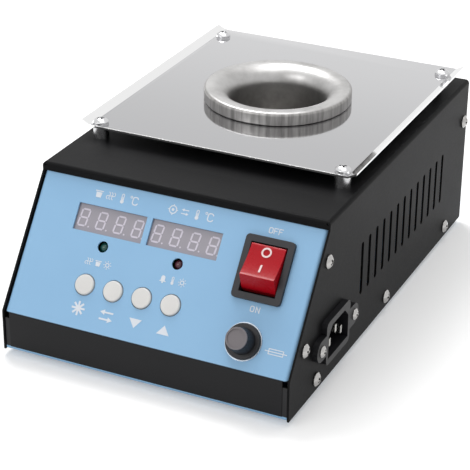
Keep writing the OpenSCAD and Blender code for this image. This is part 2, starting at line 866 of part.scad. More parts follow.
// The ring and the bar printed on the rocker's dished face
module rocker_marks() {
  color("#f3dcdc") on_pivot() intersection() {
    union() {
      translate([0, 4.9, 0]) linear_extrude(ridge_z) difference() {
        circle(d = 5);
        circle(d = 3.3);
      }
      translate([0, -3.6, 0]) linear_extrude(ridge_z) square([0.9, 4], center = true);
    }
    difference() {
      dish_bar(dish_r);
      dish_bar(dish_r - mark_t);
    }
  }
}

module dish_bar(r) {
  translate([0, 0, ridge_z + dish_r - dish_depth]) rotate([0, 90, 0])
    cylinder(r = r, h = rocker_w, center = true, $fn = 256);
}

// ---------------------------------------------------------------- fuse holder

fuse_u = body_w / 2 - fuse_right;
fuse_bore = 8.4;
link_d = 5.2;
link_len = 20;

module on_fuse(z = 0) {
  on_panel() translate([fuse_u, fuse_s, z]) children();
}

module fuse_washer() {
  color("#b7b9bc") on_fuse() difference() {
    cylinder(d = fuse_flange_d + 1.2, h = fuse_washer_t);
    translate([0, 0, -past]) cylinder(d = fuse_body_d + 0.1, h = fuse_washer_t + 2 * past);
  }
}

// The holder's flange and threaded barrel, bored for the fuse
module fuse_holder() {
  color("#1c1c1e") on_fuse() difference() {
    union() {
      translate([0, 0, fuse_washer_t]) cylinder(d = fuse_flange_d, h = fuse_flange_t);
      translate([0, 0, -fuse_depth]) cylinder(d = fuse_body_d, h = fuse_depth + fuse_seat);
    }
    translate([0, 0, 2 - fuse_depth]) cylinder(d = fuse_bore, h = fuse_depth + 2 * fuse_seat);
  }
}

module fuse_nut() {
  nut_h = 3;
  color("#26262a") on_fuse(-sheet - nut_h) hex_nut(fuse_body_d, 17, nut_h);
}

// The holder's two solder tabs, and the contact under the fuse's inner end
module fuse_tabs() {
  floor_t = 2;
  color("#c9b27a") on_fuse(-fuse_depth) {
    translate([0, 0, floor_t]) cylinder(d = link_d - 1, h = fuse_depth - link_len - floor_t - 0.1);
    translate([-2.4, 1.5, -7]) cube([4.8, 0.8, 7]);
    translate([-2.4, -2.3, -7]) cube([4.8, 0.8, 7]);
  }
}

// The ribbed cap with the carrier that holds the fuse's outer end
module fuse_cap() {
  base_r = 6.4;
  top_r = fuse_cap_top_r;
  ribs = 18;
  carrier = fuse_bore - 0.2;
  color("#202022") on_fuse(fuse_seat + gap) {
    difference() {
      union() {
        cylinder(r1 = base_r, r2 = top_r, h = fuse_cap_h);
        for (i = [0:ribs - 1]) rotate([0, 0, i * 360 / ribs]) translate([top_r - 0.2, 0, 0])
          cylinder(r = 0.55, h = fuse_cap_h * 0.82, $fn = 16);
      }
      translate([0, 0, fuse_cap_h - 0.4]) cylinder(r = top_r - 0.8, h = past);
    }
    translate([0, 0, -fuse_seat - gap - 3]) difference() {
      cylinder(d = carrier, h = fuse_seat + gap + 3);
      translate([0, 0, -past]) cylinder(d = link_d + 0.1, h = 3 + past);
    }
  }
}

// A glass fuse between its two metal ends
module fuse_link() {
  color("#cfcfd2") on_fuse(-link_len) {
    for (z = [0, link_len - 5]) translate([0, 0, z]) cylinder(d = link_d, h = 5);
    translate([0, 0, 4]) cylinder(d = link_d - 0.6, h = link_len - 8);
  }
}

// ---------------------------------------------------------------- mains inlet

socket_w = 24.4;
socket_h = 16.4;
inlet_body_depth = 19;
inlet_hub_w = 29;
inlet_hub_h = 23;
ear_r = 5.5;
pin_back = 1.5;

// The inlet's frame on the cover's right side: X back, Y up, Z out of the side
module on_inlet() {
  in_case() translate([body_w / 2, inlet_y, inlet_z]) rotate([90, 0, 90]) children();
}

// The plug socket's outline: a rectangle with its two upper corners cut
module socket_outline(grow = 0) {
  w = socket_w / 2 + grow;
  h = socket_h / 2 + grow;
  cut = 4.6;
  polygon([[-w, -h], [w, -h], [w, h - cut], [w - cut, h], [-w + cut, h], [-w, h - cut]]);
}

module inlet() {
  color("#1a1a1c") on_inlet() difference() {
    union() {
      linear_extrude(inlet_flange_t) {
        round_rect(inlet_hub_w, inlet_hub_h, 3);
        hull() for (end = [-1, 1]) translate([end * inlet_screw_pitch / 2, 0]) circle(ear_r, $fn = 32);
      }
      translate([0, 0, -inlet_body_depth]) linear_extrude(inlet_body_depth) socket_outline(1.4);
    }
    translate([0, 0, inlet_flange_t - socket_depth]) linear_extrude(socket_depth + past) socket_outline();
    for (end = [-1, 1]) translate([end * inlet_screw_pitch / 2, 0, -past])
      cylinder(d = m3 + 0.2, h = inlet_flange_t + 2 * past);
    inlet_pin_places() translate([0, 0, -inlet_body_depth - past]) cube([2.02, 4.02, 60], center = true);
  }
}

// Three pins: earth in the middle above, and the two supply pins below it
module inlet_pin_places() {
  translate([0, 2, 0]) children();
  for (side = [-1, 1]) translate([side * 7, -2, 0]) children();
}

module inlet_pins() {
  pin_front = inlet_flange_t - pin_back;
  tab_back = inlet_body_depth + 8;
  color("#d0cfcb") on_inlet() inlet_pin_places() translate([-1, -2, -tab_back]) cube([2, 4, tab_back + pin_front]);
}

module inlet_screws() {
  color("#3a3a3d") on_inlet() for (end = [-1, 1]) translate([end * inlet_screw_pitch / 2, 0, inlet_flange_t])
    pan_screw(m3, inlet_flange_t + sheet + 4, 5.8, 2);
}

module inlet_nuts() {
  nut_h = 2.4;
  color("#a9a9ac") on_inlet() for (end = [-1, 1])
    translate([end * inlet_screw_pitch / 2, 0, -sheet - nut_h]) hex_nut(m3, 5.5, nut_h);
}

// Room in the chassis's side flange for the inlet's body and nuts
module inlet_clearance() {
  reach = inlet_screw_pitch / 2 + 4.5;
  rise = socket_h / 2 + 3;
  block([chassis_w / 2 - 3, inlet_y - reach, inlet_z - rise], [body_w, inlet_y + reach, inlet_z + rise]);
}

// ---------------------------------------------------------------- power electronics

power_y0 = inlet_y + 22;
power_y1 = pot_y - can_d / 2 - 6;
power_x = 52;
pillar_h = 6;
pillar_in = 5;
pillar_nut = 5.5;
power_z = sheet + pillar_h;

module pillar_places() {
  for (x = [-1, 1], y = [power_y0 + pillar_in, power_y1 - pillar_in])
    translate([x * (power_x - pillar_in), y, 0]) children();
}

module power_board() {
  color("#2d5f3f") in_case() difference() {
    block([-power_x, power_y0, power_z], [power_x, power_y1, power_z + board_t]);
    pillar_places() cylinder(d = m3 + 0.2, h = 30);
  }
}

// Pillars on the floor, each with its stud through the board and a nut
module board_pillars() {
  color("#b9b9bc") in_case() pillar_places() {
    translate([0, 0, sheet]) cylinder(d = 6, h = pillar_h, $fn = 6);
    translate([0, 0, -sheet * 0.5]) cylinder(d = m3 - 0.1, h = power_z + board_t + 4);
    translate([0, 0, power_z + board_t]) hex_nut(m3 - 0.1, pillar_nut, 2.4);
  }
}

module on_power_board() {
  in_case() translate([0, power_y0, power_z + board_t]) children();
}

// The heater's leads leave the board between the transformer's core and the relay
core_right = -11;
relay_left = -4;

// A small transformer: a laminated core with a wound bobbin
module transformer() {
  core = [30, 16, 24];
  bobbin = [16, 24, 16];
  color("#5b5148") on_power_board() translate([core_right - core[0] / 2, 16, 0]) {
    translate([-core[0] / 2, -core[1] / 2, 0]) cube(core);
    translate([-bobbin[0] / 2, -bobbin[1] / 2, (core[2] - bobbin[2]) / 2]) cube(bobbin);
  }
}

module relay() {
  color("#2d5fa5") on_power_board() block([relay_left, 6, 0], [15, 22, 15.5]);
}

// A finned aluminium heat sink with the power triac on its face
module heat_sink() {
  fins = 6;
  color("#9a9da1") on_power_board() translate([20, 8, 0]) {
    cube([3, 18, 26]);
    for (i = [0:fins - 1]) translate([3, i * 3.4, 0]) cube([9, 1, 26]);
    translate([-4.4, 4, 6]) cube([4.4, 10, 15]);
  }
}

// The terminal block stands beside the pillars' nuts
terminal_w = 9;
terminal_x = power_x - pillar_in - pillar_nut / cos(30) / 2 - gap - terminal_w;

module terminal_block() {
  poles = 4;
  color("#3c8a4a") on_power_board() translate([terminal_x, 6, 0]) difference() {
    cube([terminal_w, poles * 5, 11]);
    for (i = [0:poles - 1]) {
      translate([3.2, i * 5 + 2.5, 7]) cylinder(d = 3.4, h = 6);
      translate([6, i * 5 + 2.5, 4]) rotate([0, 90, 0]) cylinder(d = 2.8, h = 5);
    }
  }
}

wire_d = 2;
// The heater's leads rise beside its two ears
lead_x = clamp_gap / 2 + clamp_t + wire_d / 2 + 0.1;
lead_y = pot_y + heater_r + 2;

module lead_holes(d) {
  for (side = [-1, 1]) translate([side * lead_x, lead_y - pot_y, can_floor - past]) cylinder(d = d, h = 20);
}

// A wire through a list of points, a little thicker at every turn
module wire(points) {
  for (i = [0:len(points) - 2]) wire_run(points[i], points[i + 1]);
  for (i = [1:len(points) - 2]) translate(points[i]) sphere(d = wire_d * 1.1, $fn = 24);
}

module wire_run(from, to) {
  way = to - from;
  length = norm(way);
  translate(from) rotate([0, acos(way[2] / length), atan2(way[1], way[0])]) cylinder(d = wire_d, h = length, $fn = 24);
}

// Leads from the power board through the can's bottom to the heater's ears
module mains_wires() {
  board_y = power_y1 - 6;
  turn_z = can_floor - 12;
  color("#d9d4c8") in_case() for (side = [-1, 1]) {
    board_x = (core_right + relay_left) / 2 + side * (wire_d / 2 + gap);
    wire([
      [board_x, board_y, power_z + board_t], [board_x, board_y, turn_z],
      [side * lead_x, lead_y, turn_z], [side * lead_x, lead_y, heater_z + 8]
    ]);
  }
}

// ---------------------------------------------------------------- printing on the panel

ink_t = 0.1;
icon_drop = 12.2;

// All the white printing on the panel
module panel_print() {
  color("#f4f7fb") on_panel() linear_extrude(ink_t) {
    translate([button_u(0), button_s - icon_drop + 0.6]) star_mark();
    translate([button_u(1), button_s - icon_drop]) swap_mark();
    translate([button_u(2), button_s - icon_drop]) rotate([0, 0, 180]) triangle_mark();
    translate([button_u(3), button_s - icon_drop]) triangle_mark();
    translate([switch_u + 0.6, switch_s + frame_l / 2 + 3.6]) off_word();
    translate([switch_u + 0.6, switch_s - frame_l / 2 - 3.4]) on_word();
    translate([fuse_u + 16.6, fuse_s - 1.4]) fuse_mark();
    translate([window_us[0], window_s + window_h / 2 + 6]) reading_caption();
    translate([window_us[1], window_s + window_h / 2 + 6]) target_caption();
    translate([window_us[0], lamp_s - 8.2]) heat_caption();
    translate([window_us[1], lamp_s - 8.2]) alarm_caption();
  }
}

// A straight stroke with square ends
module stroke(from, to, width) {
  way = to - from;
  translate(from) rotate([0, 0, atan2(way[1], way[0])]) translate([-width / 2, -width / 2])
    square([norm(way) + width, width]);
}

module star_mark() {
  for (i = [0:3]) rotate([0, 0, i * 45]) square([7, 0.95], center = true);
}

module arrow_mark() {
  polygon([[-3.6, 0], [-1.2, 1.3], [-1.2, 0.4], [3.4, 0.4], [3.4, -0.4], [-1.2, -0.4], [-1.2, -1.3]]);
}

module swap_mark() {
  translate([0, 1.7]) arrow_mark();
  translate([0, -1.7]) rotate([0, 0, 180]) arrow_mark();
}

module triangle_mark() {
  polygon([[-3.3, -2.1], [3.3, -2.1], [0, 2.3]]);
}

letter_h = 2.5;
letter_w = 1.7;
pen = 0.42;

module letter_o() {
  difference() {
    round_rect(letter_w + pen, letter_h + pen, 0.8, $fn = 24);
    round_rect(letter_w - pen, letter_h - pen, 0.5, $fn = 24);
  }
}

module letter_f() {
  left = -letter_w / 2;
  stroke([left, -letter_h / 2], [left, letter_h / 2], pen);
  stroke([left, letter_h / 2], [letter_w / 2, letter_h / 2], pen);
  stroke([left, 0], [letter_w / 4, 0], pen);
}

module letter_n() {
  for (x = [-1, 1]) stroke([x * letter_w / 2, -letter_h / 2], [x * letter_w / 2, letter_h / 2], pen);
  stroke([-letter_w / 2, letter_h / 2], [letter_w / 2, -letter_h / 2], pen);
}

module off_word() {
  translate([-2.5, 0]) letter_o();
  letter_f();
  translate([2.5, 0]) letter_f();
}

module on_word() {
  translate([-1.4, 0]) letter_o();
  translate([1.4, 0]) letter_n();
}

// The usual sign for a fuse: a box with a line through it
module fuse_mark() {
  difference() {
    square([7.6, 2.8], center = true);
    square([6.8, 2], center = true);
  }
  square([11, pen], center = true);
}

// A thermometer, four millimetres high
module thermometer_mark() {
  translate([0, 0.7]) difference() {
    slot_outline(1.5, 3.4);
    slot_outline(0.7, 2.6);
  }
  translate([0, -1.5]) circle(0.95, $fn = 24);
  translate([0, -0.3]) square([0.4, 2], center = true);
}

// Degrees Celsius
module celsius_mark() {
  translate([-1.9, 1.6]) difference() {
    circle(0.65, $fn = 24);
    circle(0.3, $fn = 24);
  }
  translate([0.5, 0]) difference() {
    round_rect(3.2, 4.2, 1.3, $fn = 32);
    round_rect(2.2, 3.2, 0.9, $fn = 32);
    translate([0.9, -0.9]) square([1.2, 1.8]);
  }
}

// A pot with two handles
module pot_mark() {
  polygon([[-1.6, 0.7], [1.6, 0.7], [1.3, -1.9], [-1.3, -1.9]]);
  translate([0, 1.3]) square([4.2, 0.5], center = true);
}

// Rings round a point
module aim_mark() {
  difference() {
    circle(2.1, $fn = 32);
    circle(1.6, $fn = 32);
  }
  circle(0.7, $fn = 24);
  for (turn = [0, 90]) rotate([0, 0, turn]) for (end = [-1, 1]) translate([end * 2.1, 0]) square([1, pen], center = true);
}

module reading_caption() {
  spread = 6.4;
  translate([-1.5 * spread, 0]) pot_mark();
  translate([-0.5 * spread, 0]) rising_heat();
  translate([0.5 * spread, 0]) thermometer_mark();
  translate([1.5 * spread, 0]) celsius_mark();
}

module target_caption() {
  spread = 6.4;
  translate([-1.5 * spread, 0]) aim_mark();
  translate([-0.5 * spread, 0]) scale(0.55) swap_mark();
  translate([0.5 * spread, 0]) thermometer_mark();
  translate([1.5 * spread, 0]) celsius_mark();
}

// Three rising wavy lines, each of two half rings
module rising_heat() {
  for (x = [-1.4, 0, 1.4]) translate([x, 0]) for (half = [-1, 1]) translate([0, half * 0.85]) intersection() {
    difference() {
      circle(1.05, $fn = 24);
      circle(0.7, $fn = 24);
    }
    translate([half > 0 ? 0 : -1.2, -1.2]) square([1.2, 2.4]);
  }
}

// A bell
module bell_mark() {
  translate([0, 0.5]) circle(1.05, $fn = 24);
  translate([-1.05, -1]) square([2.1, 1.5]);
  square_w = 3.2;
  translate([-square_w / 2, -1.4]) square([square_w, 0.45]);
  translate([0, -1.75]) circle(0.42, $fn = 16);
}

module lamp_mark() {
  difference() {
    circle(1.1, $fn = 24);
    circle(0.7, $fn = 24);
  }
  for (turn = [0:45:315]) rotate([0, 0, turn]) translate([1.75, 0]) square([0.7, 0.3], center = true);
}

module heat_caption() {
  spread = 5;
  translate([-spread, 0]) scale(0.85) rising_heat();
  scale(0.8) pot_mark();
  translate([spread, 0]) lamp_mark();
}

module alarm_caption() {
  spread = 5;
  translate([-spread, 0]) bell_mark();
  scale(0.8) thermometer_mark();
  translate([spread, 0]) lamp_mark();
}

// ---------------------------------------------------------------- drawing

chassis();
front_strip();
cover();
cover_screws();
feet();
foot_screws();
heat_shield();
spacers();
shield_washers();
shield_screws();
shield_nuts();
crucible();
heater_band();
heater_clamp_screw();
insulation();
pot_can();
pot_bracket();
bracket_screws();
thermocouple();
control_board();
board_standoffs();
board_screws();
tact_switches();
display_left();
display_right();
digits_left();
digits_right();
lamp_green();
lamp_red();
button_set();
button_shift();
button_down();
button_up_key();
switch_housing();
switch_tabs();
rocker();
rocker_marks();
fuse_washer();
fuse_holder();
fuse_nut();
fuse_tabs();
fuse_cap();
fuse_link();
inlet();
inlet_pins();
inlet_screws();
inlet_nuts();
power_board();
board_pillars();
transformer();
relay();
heat_sink();
terminal_block();
mains_wires();
panel_print();
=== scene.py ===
import json
import math

import bmesh
import bpy
from mathutils import Matrix, Vector


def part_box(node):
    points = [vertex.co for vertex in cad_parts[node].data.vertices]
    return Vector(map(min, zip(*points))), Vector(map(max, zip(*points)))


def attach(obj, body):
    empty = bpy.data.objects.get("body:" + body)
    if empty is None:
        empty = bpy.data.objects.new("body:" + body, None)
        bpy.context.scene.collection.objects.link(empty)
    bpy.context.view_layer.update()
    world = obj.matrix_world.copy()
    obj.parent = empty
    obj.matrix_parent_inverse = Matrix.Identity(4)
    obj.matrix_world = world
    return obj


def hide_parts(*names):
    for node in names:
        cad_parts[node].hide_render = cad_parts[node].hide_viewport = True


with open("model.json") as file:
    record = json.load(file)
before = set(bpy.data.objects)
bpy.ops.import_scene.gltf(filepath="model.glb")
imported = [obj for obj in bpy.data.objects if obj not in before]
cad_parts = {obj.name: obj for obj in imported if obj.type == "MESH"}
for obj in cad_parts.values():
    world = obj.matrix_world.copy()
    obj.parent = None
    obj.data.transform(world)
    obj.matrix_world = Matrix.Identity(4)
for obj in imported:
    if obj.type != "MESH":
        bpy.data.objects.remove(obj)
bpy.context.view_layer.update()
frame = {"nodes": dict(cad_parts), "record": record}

nodes = frame["nodes"]

# ---------------------------------------------------------------- cover
# The cover is one sheet of millimetre steel, punched with vent slots and folded into a U with a
# lip over the panel. It is powder-coated black, with the fine even grain that such paint dries to.


class Field:
    """A number that varies over a surface: an output of a finish's nodes."""

    def __init__(self, finish, socket):
        self.finish, self.socket = finish, socket

    def _math(self, operation, *values):
        return self.finish.node("ShaderNodeMath", {"operation": operation}, dict(enumerate(values)))

    def __add__(self, other):
        return self._math("ADD", self, other)

    __radd__ = __add__

    def __sub__(self, other):
        return self._math("SUBTRACT", self, other)

    def __rsub__(self, other):
        return self._math("SUBTRACT", other, self)

    def __mul__(self, other):
        return self._math("MULTIPLY", self, other)

    __rmul__ = __mul__

    def __truediv__(self, other):
        return self._math("DIVIDE", self, other)

    def __abs__(self):
        return self._math("ABSOLUTE", self)

    def sine(self):
        return self._math("SINE", self)

    def root(self):
        return self._math("SQRT", self)

    def most(self, other):
        return self._math("MAXIMUM", self, other)

    def step(self, low, high):
        """0 below low, 1 above high, and a smooth rise between."""
        return self.finish.node(
            "ShaderNodeMapRange",
            {"interpolation_type": "SMOOTHSTEP"},
            {0: self, 1: low, 2: high, 3: 0.0, 4: 1.0},
        )


class Nodes:
    """A node tree that is built by calls: node() adds a node, and join() feeds a socket."""

    def __init__(self, tree):
        self.tree = tree

    def node(self, kind, settings=None, inputs=None, out=0):
        """Adds a node: its settings first, then the values and links of its sockets."""
        made = self.tree.nodes.new(kind)
        for key, value in (settings or {}).items():
            setattr(made, key, value)
        for key, value in (inputs or {}).items():
            self.join(made.inputs[key], value)
        return Field(self, made.outputs[out]) if made.outputs else None

    def join(self, socket, value):
        if isinstance(value, Field):
            self.tree.links.new(value.socket, socket)
        elif isinstance(value, tuple) and len(value) == 3 and socket.type == "RGBA":
            socket.default_value = (*value, 1.0)
        else:
            socket.default_value = value

    def mix(self, amount, one, other):
        """Colour one where amount is 0, and other where it is 1."""
        return self.node(
            "ShaderNodeMix", {"data_type": "RGBA"}, {0: amount, 6: one, 7: other}, out=2
        )

    def in_view(self):
        """1 for what the camera sees straight, in a reflection or through glass, else 0."""
        straight, mirrored, through = (
            self.node("ShaderNodeLightPath", out=f"Is {ray} Ray")
            for ray in ("Camera", "Glossy", "Transmission")
        )
        return straight.most(mirrored).most(through)


class Finish(Nodes):
    """A material that ends in one Principled shader. Lengths in it are in metres."""

    def __init__(self, name, **looks):
        self.material = bpy.data.materials.new(name)
        self.material.use_nodes = True
        super().__init__(self.material.node_tree)
        self.shader = self.tree.nodes["Principled BSDF"]
        self.normal = None
        self.place = self.node("ShaderNodeTexCoord", out="Object")
        for socket, value in looks.items():
            self.set(socket.replace("_", " ").title().replace("Ior", "IOR"), value)

    def set(self, socket, value):
        self.join(self.shader.inputs[socket], value)

    def noise(self, grain, detail=2.0, roughness=0.5, where=None):
        """Clouds whose features are about grain metres across, from 0 to 1."""
        return self.node(
            "ShaderNodeTexNoise",
            {},
            {
                "Vector": where or self.place,
                "Scale": 1.0 / grain,
                "Detail": detail,
                "Roughness": roughness,
            },
        )

    def stretched(self, x, y, z):
        """The place on the piece, with each direction drawn out by its number."""
        return self.node(
            "ShaderNodeMapping", {}, {0: self.place, 3: (1.0 / x, 1.0 / y, 1.0 / z)}
        )

    def part(self, axis):
        """One coordinate of the place on the piece, in metres."""
        return self.node("ShaderNodeSeparateXYZ", {}, {0: self.place}, out="XYZ".index(axis))

    def bump(self, height, depth, strength=1.0):
        """Raises the surface where height is 1, by depth metres."""
        inputs = {"Strength": strength, "Distance": depth, "Height": height}
        if self.normal:
            inputs["Normal"] = self.normal
        self.normal = self.node("ShaderNodeBump", {}, inputs)
        self.set("Normal", self.normal)

    def color(self):
        """The base colour as it stands, to be mixed further."""
        return Field(self, self.shader.inputs["Base Color"].links[0].from_socket)

    def cover(self, *names):
        """Puts this finish on CAD nodes."""
        for name in names:
            for place in nodes[name].material_slots:
                place.material = self.material


def softened(name, edge, finish, sharpest=30.0):
    """A copy of a CAD piece, with edges over sharpest degrees rounded off by edge metres."""
    sharp = math.radians(sharpest)
    mesh = nodes[name].data.copy()
    mesh.name = name + "_shape"
    work = bmesh.new()
    work.from_mesh(mesh)
    bmesh.ops.remove_doubles(work, verts=work.verts, dist=1e-6)
    bmesh.ops.dissolve_limit(
        work, angle_limit=math.radians(0.5), verts=work.verts, edges=work.edges, delimit={"NORMAL"}
    )
    work.to_mesh(mesh)
    work.free()
    mesh.materials.clear()
    mesh.materials.append(finish.material)
    mesh.shade_smooth()
    mesh.set_sharp_from_angle(angle=sharp)
    piece = bpy.data.objects.new(name + "_shape", mesh)
    bpy.context.scene.collection.objects.link(piece)
    bevel = piece.modifiers.new("edges", "BEVEL")
    bevel.width = edge
    bevel.segments = 2
    bevel.limit_method = "ANGLE"
    bevel.angle_limit = sharp
    bevel.harden_normals = True
    bodies = frame["record"]["behaviour"]["bodies"]
    body = next(body for body, members in bodies.items() if name in members)
    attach(piece, body)
    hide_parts(name)


def powder_coat(name, color, light, roughness, sheen):
    """Powder paint: a fine pebbled skin, with clouds of slightly duller and paler paint."""
    paint = Finish(name, specular_ior_level=sheen)
    grain = paint.noise(0.0009, detail=3.0)
    clouds = paint.noise(0.03, detail=3.0)
    paint.set("Base Color", paint.mix(clouds.step(0.3, 0.7), color, light))
    paint.set("Roughness", roughness + 0.10 * grain + 0.06 * clouds)
    paint.bump(grain, 0.00004, 0.5)
    return paint


cover_black = powder_coat(
    "cover_black", (0.0045, 0.0045, 0.005), (0.006, 0.006, 0.0065), 0.38, 0.07
)
softened("cover", 0.00025, cover_black)

# ---------------------------------------------------------------- chassis
# The chassis is the other folded sheet: floor, upright band, sloping control panel and back. It
# is powder-coated pale blue, and is screwed to the cover's sides. The band is masked and sprayed
# black from side to side, under the film that is stuck on it.

panel_blue = powder_coat("panel_blue", (0.260, 0.470, 0.700), (0.272, 0.486, 0.716), 0.42, 0.35)
strip_low, strip_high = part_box("front_strip")
up, back = panel_blue.part("Z"), panel_blue.part("Y")
above_fold = up.step(strip_low.z - 0.0002, strip_low.z + 0.0002)
below_panel = 1.0 - up.step(strip_high.z + 0.0002, strip_high.z + 0.0006)
in_front = 1.0 - back.step(strip_high.y + 0.004, strip_high.y + 0.006)
on_band = above_fold * below_panel * in_front
masked = panel_blue.mix(on_band, panel_blue.color(), (0.007, 0.007, 0.008))
panel_blue.set("Base Color", masked)
softened("chassis", 0.00020, panel_blue)

# ---------------------------------------------------------------- cover screws
# Six pan-head screws a side hold the cover to the chassis. They are steel, nickel-plated, with a
# cross recess.

mm = 0.001


def turned(outline, segments=96):
    """A solid turned from (radius, height) points in metres, which start and end on the axis."""
    work = bmesh.new()
    rows = []
    for radius, height in outline:
        if radius < 1e-9:
            rows.append([work.verts.new((0.0, 0.0, height))])
            continue
        angles = [2.0 * math.pi * k / segments for k in range(segments)]
        ring = [(radius * math.cos(a), radius * math.sin(a), height) for a in angles]
        rows.append([work.verts.new(point) for point in ring])
    for low, high in zip(rows, rows[1:]):
        for k in range(segments):
            n = (k + 1) % segments
            below, above = len(low), len(high)
            side = [low[k % below], low[n % below], high[n % above], high[k % above]]
            work.faces.new([v for i, v in enumerate(side) if v not in side[:i]])
    bmesh.ops.recalc_face_normals(work, faces=work.faces)
    mesh = bpy.data.meshes.new("turned")
    work.to_mesh(mesh)
    work.free()
    mesh.shade_smooth()
    mesh.set_sharp_from_angle(angle=math.radians(35.0))
    return mesh


def arc(x, z, r, start, end, steps=8):
    """Points on an arc about (x, z), from start to end degrees."""
    turns = [math.radians(start + (end - start) * k / steps) for k in range(steps + 1)]
    return [(x + r * math.cos(t), z + r * math.sin(t)) for t in turns]


def recess_blade(crown, turn):
    """One bar of the cross that is cut into a head: it narrows from above the crown down."""
    half_length, half_width, deepest = 0.30, 0.075, 0.12
    work = bmesh.new()
    rings = []
    for z, length, width in ((crown + 0.05, 1.0, 1.0), (deepest, 0.45, 0.78)):
        x, y = half_length * length, half_width * width
        rings.append([work.verts.new(c) for c in ((-x, -y, z), (x, -y, z), (x, y, z), (-x, y, z))])
    upper, lower = rings
    work.faces.new(upper)
    work.faces.new(lower[::-1])
    for k in range(4):
        n = (k + 1) % 4
        work.faces.new((lower[k], lower[n], upper[n], upper[k]))
    bmesh.ops.rotate(work, verts=work.verts, matrix=Matrix.Rotation(math.radians(turn), 3, "Z"))
    bmesh.ops.recalc_face_normals(work, faces=work.faces)
    mesh = bpy.data.meshes.new("recess")
    work.to_mesh(mesh)
    work.free()
    blade = bpy.data.objects.new("recess", mesh)
    bpy.context.scene.collection.objects.link(blade)
    return blade


def finished_mesh(piece):
    """The mesh that a piece's modifiers make of it."""
    bpy.context.view_layer.update()
    return bpy.data.meshes.new_from_object(
        piece.evaluated_get(bpy.context.evaluated_depsgraph_get())
    )


def screw_head():
    """A pan head of unit diameter on z = 0. Its attribute, recess, is 1 in the cross recess."""
    edge, crown = 0.10, 0.34
    dome = (0.25 + (crown - edge) ** 2) / (2.0 * (crown - edge))
    reach = math.degrees(math.asin(0.5 / dome))
    top = arc(0.0, crown - dome, dome, 90.0 - reach, 90.0, 10)[1:-1]
    shank = [(0.0, -0.3), (0.24, -0.3), (0.24, 0.0)]
    rim = [(0.49, 0.0), (0.5, 0.02), (0.5, edge), (0.495, edge + 0.015)]
    mesh = turned(shank + rim + top + [(0.0, crown)], 40)
    head = bpy.data.objects.new("screw_head", mesh)
    bpy.context.scene.collection.objects.link(head)
    for turn in (0.0, 90.0):
        blade = recess_blade(crown, turn)
        cut = head.modifiers.new("recess", "BOOLEAN")
        cut.operation, cut.object, cut.solver = "DIFFERENCE", blade, "EXACT"
        done = finished_mesh(head)
        head.modifiers.clear()
        head.data = done
        bpy.data.objects.remove(blade)
    recess = head.data.attributes.new("recess", "FLOAT", "POINT")
    for corner, mark in zip(head.data.vertices, recess.data):
        out = corner.co.xy.length
        skin = crown - dome + math.sqrt(dome * dome - min(out, 0.5) ** 2)
        mark.value = 1.0 if out < 0.40 and 0.05 < corner.co.z < skin - 0.04 else 0.0
    return head


def spread_tree():
    """Geometry Nodes that set a piece on every point, facing the way the point's attribute says."""
    tree = bpy.data.node_groups.new("set_fasteners", "GeometryNodeTree")
    asked_kinds = {
        "Points": "NodeSocketGeometry",
        "Fastener": "NodeSocketObject",
        "Head diameter": "NodeSocketFloat",
        "Finish": "NodeSocketMaterial",
    }
    sockets = {
        name: tree.interface.new_socket(name=name, in_out="INPUT", socket_type=kind)
        for name, kind in asked_kinds.items()
    }
    tree.interface.new_socket(
        name="Fasteners", in_out="OUTPUT", socket_type="NodeSocketGeometry"
    )
    made = Nodes(tree)
    given = made.node("NodeGroupInput")
    asked = {name: Field(made, given.socket.node.outputs[name]) for name in sockets}
    named = "GeometryNodeInputNamedAttribute"
    facing = made.node(named, {"data_type": "FLOAT_VECTOR"}, {"Name": "facing"})
    turn = made.node(named, {"data_type": "FLOAT"}, {"Name": "turn"})
    upright = made.node("FunctionNodeAlignRotationToVector", {"axis": "Z"}, {"Vector": facing})
    spin = made.node(
        "FunctionNodeAxisAngleToRotation", {}, {"Axis": (0.0, 0.0, 1.0), "Angle": turn}
    )
    rotation = made.node(
        "FunctionNodeRotateRotation", {"rotation_space": "LOCAL"}, {0: upright, 1: spin}
    )
    piece = made.node(
        "GeometryNodeObjectInfo",
        {"transform_space": "ORIGINAL"},
        {"Object": asked["Fastener"]},
        out="Geometry",
    )
    placed = made.node(
        "GeometryNodeInstanceOnPoints",
        {},
        {
            "Points": asked["Points"],
            "Instance": piece,
            "Rotation": rotation,
            "Scale": asked["Head diameter"],
        },
    )
    solid = made.node("GeometryNodeRealizeInstances", {}, {0: placed})
    finished = made.node(
        "GeometryNodeSetMaterial", {}, {"Geometry": solid, "Material": asked["Finish"]}
    )
    made.node("NodeGroupOutput", {}, {0: finished})
    return tree, {name: socket.identifier for name, socket in sockets.items()}


head_piece = screw_head()
fastener_tree, fastener_inputs = spread_tree()


def fasteners(name, spots, diameter, finish, cad):
    """Fasteners at spots, each ((x, y, z), (facing), turn in degrees), as one plain mesh."""
    mesh = bpy.data.meshes.new(name + "_spots")
    mesh.from_pydata([place for place, _, _ in spots], [], [])
    facing = mesh.attributes.new("facing", "FLOAT_VECTOR", "POINT")
    facing.data.foreach_set("vector", [part for _, way, _ in spots for part in way])
    turning = mesh.attributes.new("turn", "FLOAT", "POINT")
    turning.data.foreach_set("value", [math.radians(turn) for _, _, turn in spots])
    holder = bpy.data.objects.new(name, mesh)
    bpy.context.scene.collection.objects.link(holder)
    spread = holder.modifiers.new("fasteners", "NODES")
    spread.node_group = fastener_tree
    spread[fastener_inputs["Fastener"]] = head_piece
    spread[fastener_inputs["Head diameter"]] = diameter
    spread[fastener_inputs["Finish"]] = finish.material
    done = finished_mesh(holder)
    holder.modifiers.clear()
    holder.data = done
    holder.data.name = name
    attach(holder, "case")
    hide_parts(cad)


